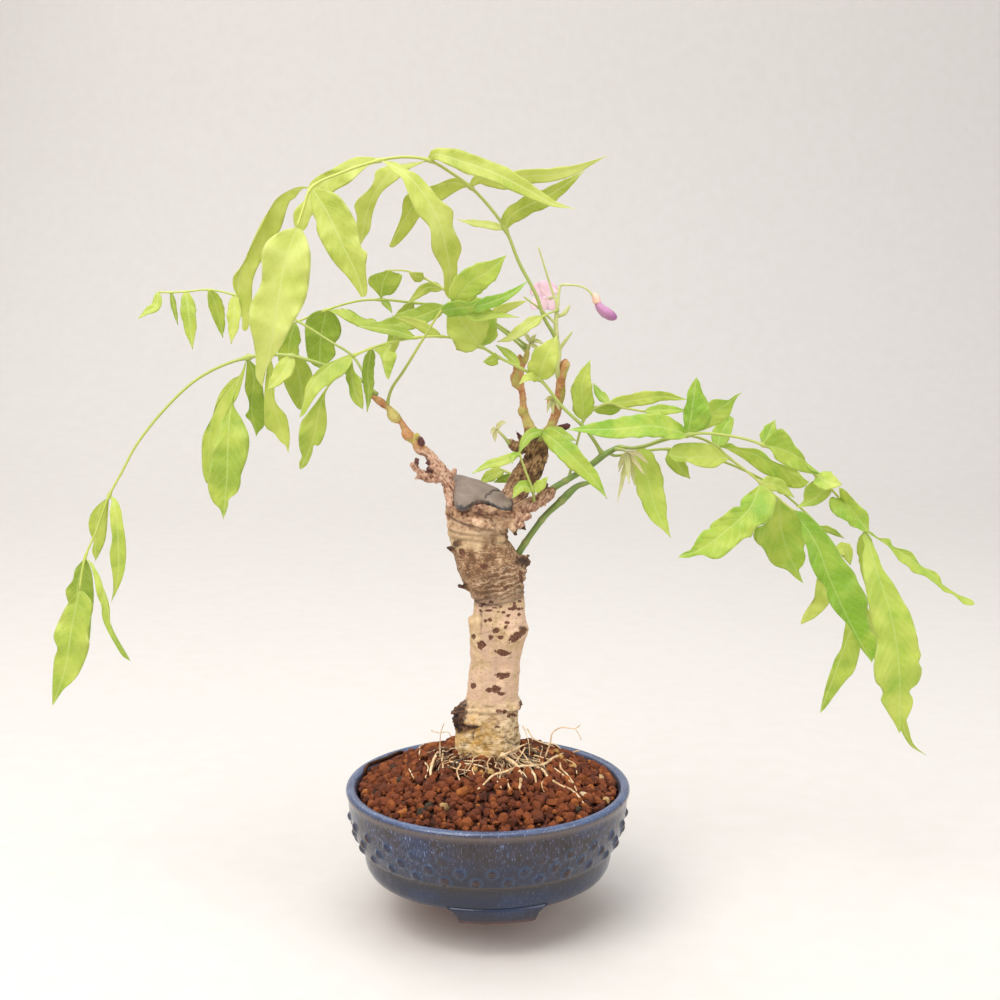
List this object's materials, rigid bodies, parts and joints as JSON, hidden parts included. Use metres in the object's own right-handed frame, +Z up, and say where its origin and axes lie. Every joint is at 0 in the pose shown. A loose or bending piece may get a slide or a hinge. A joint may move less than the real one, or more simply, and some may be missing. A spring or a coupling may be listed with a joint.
{
  "type": "wisteria bonsai in a pot",
  "caption": "Young bonsai wisteria with a stout pale trunk, a pasted cut at its top, drooping light green pinnate leaves, a flower bud and an open bloom, in a round studded dark blue glazed pot",
  "frame": {"origin": "under the middle of the whole plant's extent, on the surface that the pot's feet stand on", "axes": "+Z up, +X to the right seen from the pictured side, -Y towards the viewer of that side"},
  "size_m": [0.4404, 0.14, 0.3506],
  "materials": {
    "glaze": "gloss",
    "net": "matte",
    "steel": "satin",
    "soil": "matte",
    "bark": "matte",
    "paste": "matte",
    "wire": "satin",
    "shoot": "satin",
    "pale_leaf": "satin",
    "middle_leaf": "satin",
    "rich_leaf": "satin",
    "young_leaf": "matte",
    "calyx": "matte",
    "petal": "matte",
    "pale_petal": "matte"
  },
  "bodies": {
    "root": {"pot": "glaze", "drain_net": "net", "net_staple": "steel", "trunk": "bark", "cut_paste": "paste", "anchor_wire": "wire", "soil": "soil", "shoot_low": "shoot", "shoot_high": "shoot", "shoot_flowering": "shoot", "flower_bud_calyx": "calyx", "flower_bud": "petal", "flower_open": "pale_petal", "leaf_arching": "pale_leaf", "leaf_far_left": "pale_leaf", "leaf_young_left": "middle_leaf", "leaf_inner": "rich_leaf", "leaf_crossing": "middle_leaf", "leaf_middle": "middle_leaf", "leaf_small": "pale_leaf", "leaf_raceme_side": "pale_leaf", "leaf_upright": "rich_leaf", "leaf_right_upper": "rich_leaf", "leaf_right_lower": "rich_leaf", "leaf_right_back": "middle_leaf", "leaf_fork": "rich_leaf", "leaf_stub": "rich_leaf", "leaf_behind_trunk": "rich_leaf", "tuft_hanging": "young_leaf", "tuft_twig_top": "young_leaf", "tuft_fork": "young_leaf", "tuft_left": "young_leaf"}
  },
  "joints": []
}
